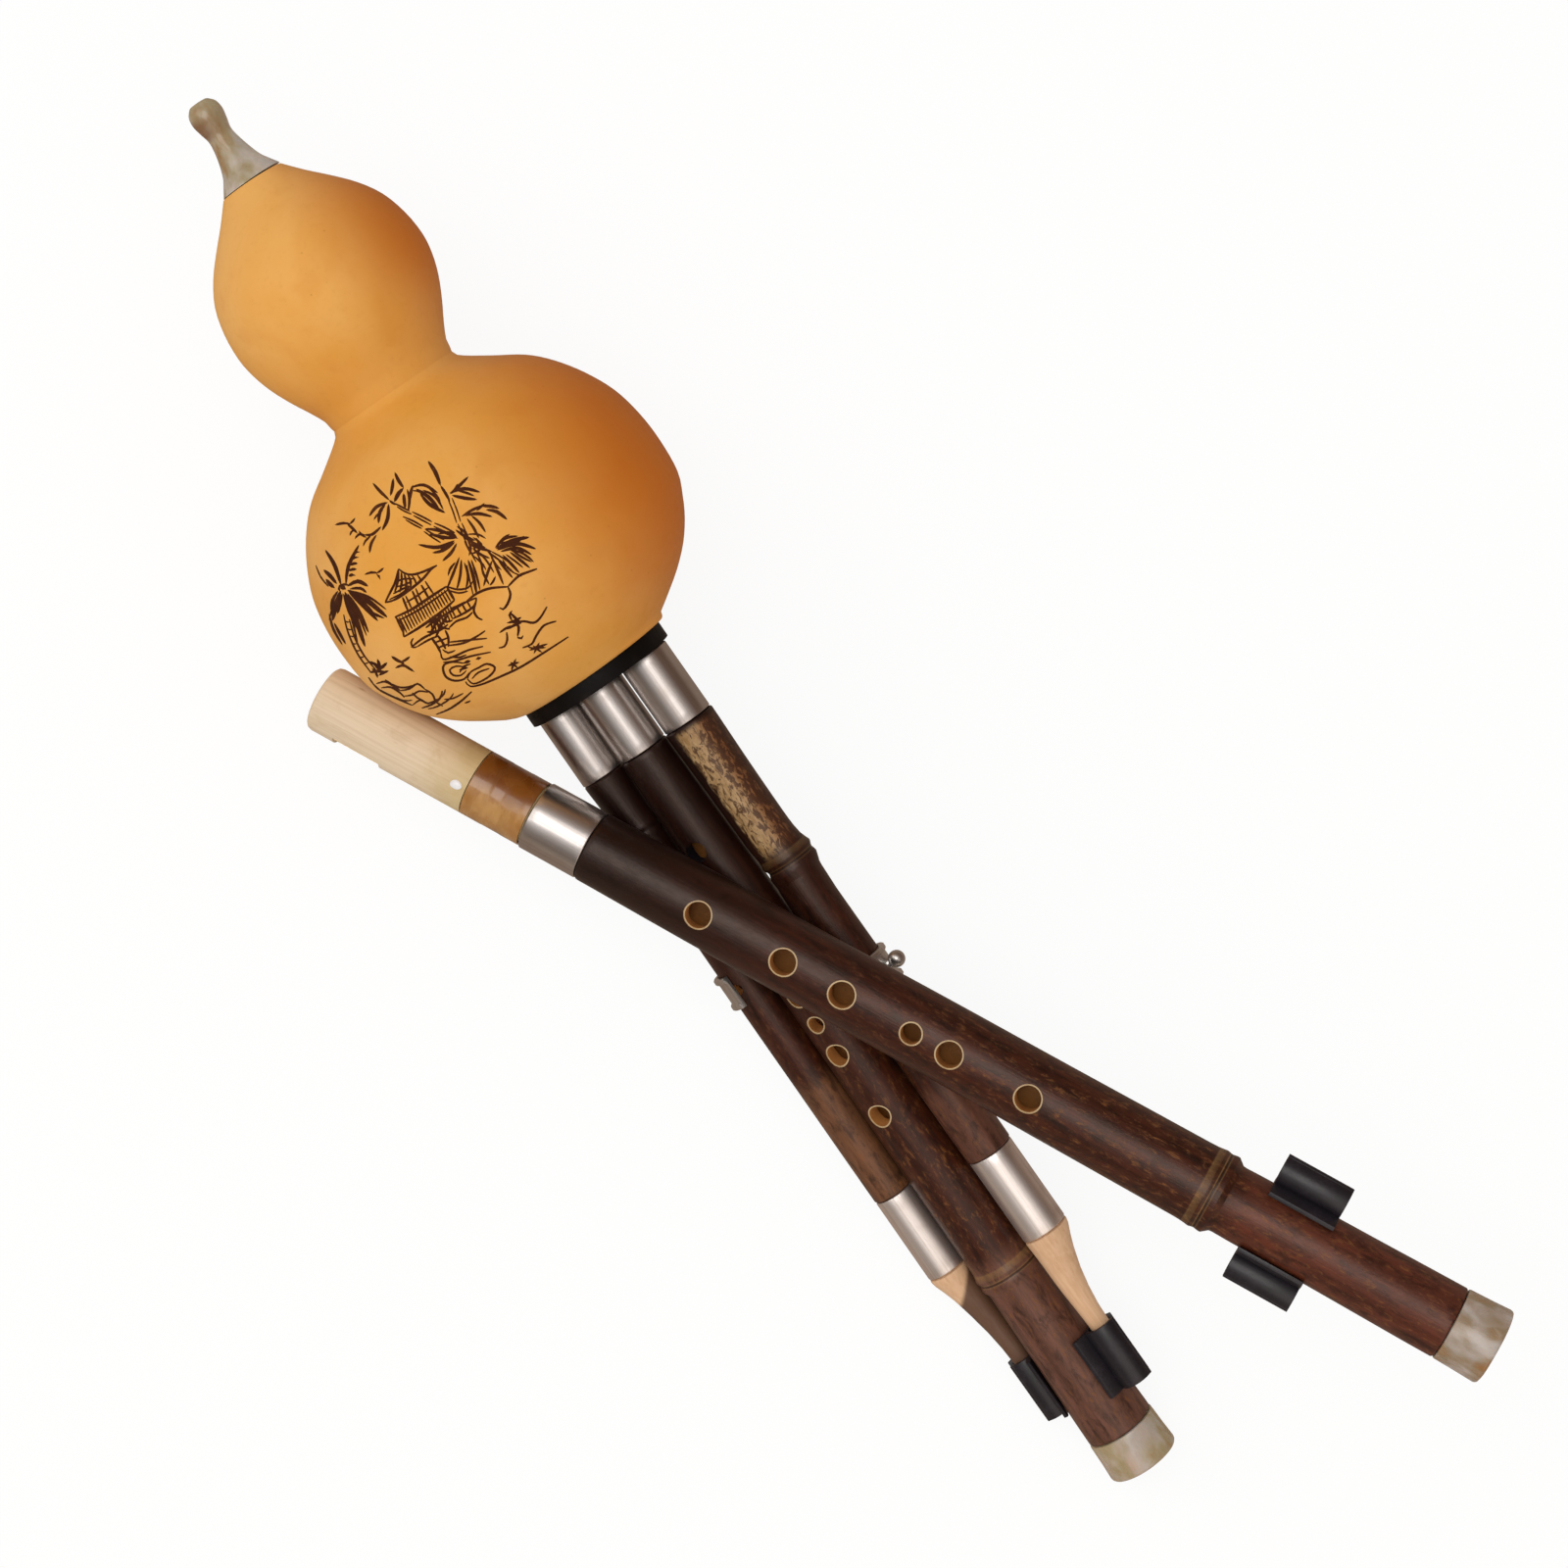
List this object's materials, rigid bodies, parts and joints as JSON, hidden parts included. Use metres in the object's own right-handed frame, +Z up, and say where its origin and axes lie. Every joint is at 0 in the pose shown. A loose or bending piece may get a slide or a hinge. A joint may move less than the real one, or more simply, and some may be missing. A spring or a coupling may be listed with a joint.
{
  "type": "hulusi",
  "caption": "Gourd flute with a waisted wind chest, a fingered bamboo pipe between drone pipes, and a spare pipe lying across them.",
  "frame": {"origin": "centre of the rest spot under the lower bulb, on the surface that the instrument lies on", "axes": "+X from the gourd towards the open pipe ends, level; +Z up"},
  "size_m": [0.4667, 0.1768, 0.1022],
  "materials": {
    "gourd": "dried gourd skin, clear varnish, satin",
    "horn": "polished horn, mottled grey and amber",
    "black_plastic": "satin black",
    "bamboo": "dark stained bamboo, mottled, polished",
    "ferrule_metal": "bright rolled sheet",
    "pale_bamboo": "scraped pale bamboo",
    "plug_wood": "carved, unvarnished",
    "amber_wrap": "amber film, glossy",
    "reed_brass": "thin sheet"
  },
  "bodies": {
    "instrument": {"gourd_shell": "gourd", "mouthpiece": "horn", "collar": "black_plastic", "left_drone_bamboo": "bamboo", "left_drone_upper_ferrule": "ferrule_metal", "left_drone_lower_ferrule": "ferrule_metal", "left_drone_tail": "pale_bamboo", "left_drone_reed": "reed_brass", "left_drone_wrap": "amber_wrap", "left_drone_plug": "plug_wood", "right_drone_bamboo": "bamboo", "right_drone_upper_ferrule": "ferrule_metal", "right_drone_lower_ferrule": "ferrule_metal", "right_drone_tail": "pale_bamboo", "right_drone_reed": "reed_brass", "right_drone_wrap": "amber_wrap", "right_drone_plug": "plug_wood"},
    "main_pipe": {"main_pipe_bamboo": "bamboo", "main_pipe_ferrule": "ferrule_metal", "main_pipe_tail": "pale_bamboo", "main_pipe_reed": "reed_brass", "main_pipe_wrap": "amber_wrap", "main_pipe_horn_ring": "horn", "main_pipe_left_holder": "black_plastic", "main_pipe_right_holder": "black_plastic"},
    "spare_pipe": {"spare_pipe_bamboo": "bamboo", "spare_pipe_ferrule": "ferrule_metal", "spare_pipe_tail": "pale_bamboo", "spare_pipe_reed": "reed_brass", "spare_pipe_wrap": "amber_wrap", "spare_pipe_horn_ring": "horn", "spare_pipe_left_holder": "black_plastic", "spare_pipe_right_holder": "black_plastic"},
    "left_mute_clip": {"left_drone_mute_clip": "ferrule_metal"},
    "right_mute_clip": {"right_drone_mute_clip": "ferrule_metal"}
  },
  "joints": [
    {"name": "main_pipe_slide", "type": "slide", "parent": "instrument", "child": "main_pipe", "axis": [0.9916, 0.0093, -0.1287], "range_m": [0, 0.07]},
    {"name": "spare_pipe_slide", "type": "slide", "parent": "instrument", "child": "spare_pipe", "axis": [0.8855, 0.4464, 0.1288], "range_m": [0, 0.05]},
    {"name": "left_mute_clip_turn", "type": "hinge", "parent": "instrument", "child": "left_mute_clip", "pos_m": [0.04388, -0.01229, 0.03884], "axis": [0.9914, 0.0009, -0.1309], "range_deg": [0, 60]},
    {"name": "right_mute_clip_turn", "type": "hinge", "parent": "instrument", "child": "right_mute_clip", "pos_m": [0.0449, 0.01498, 0.04861], "axis": [-0.9941, -0.0084, 0.1078], "range_deg": [0, 60]}
  ]
}
